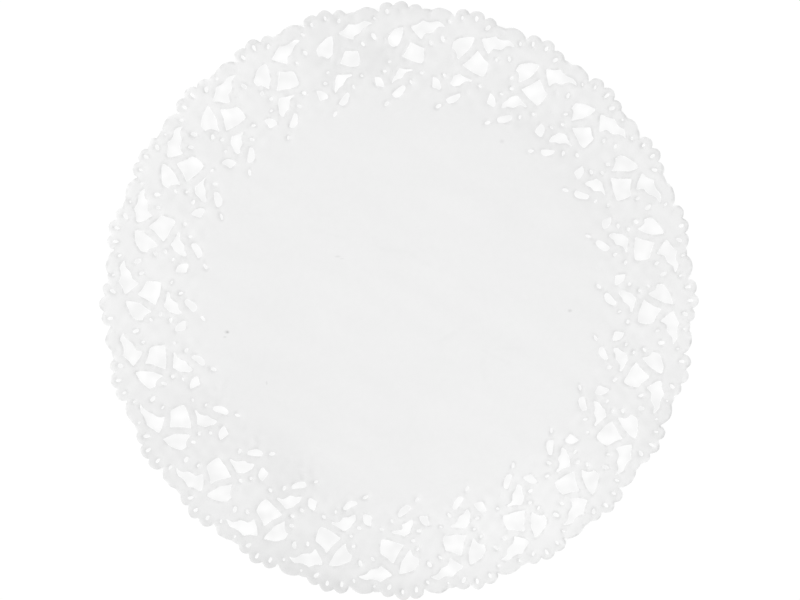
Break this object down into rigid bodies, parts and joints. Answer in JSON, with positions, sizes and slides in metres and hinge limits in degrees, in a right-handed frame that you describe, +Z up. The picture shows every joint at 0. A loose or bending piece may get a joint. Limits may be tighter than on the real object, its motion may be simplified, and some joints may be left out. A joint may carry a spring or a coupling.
{
  "type": "paper lace doily",
  "caption": "Round flat doily of thin white paper, with a smooth plain centre, a pierced and embossed lace border and a beaded scalloped edge.",
  "frame": {"origin": "middle of the doily, on the surface that it lies on", "axes": "+Z up out of the embossed face, and +Y through the tallest bead of one motif"},
  "size_m": [0.3048, 0.3048, 0.001],
  "materials": {
    "white_paper": "matt, uncoated, embossed"
  },
  "bodies": {
    "root": {"doily_sheet": "white_paper"}
  },
  "joints": []
}
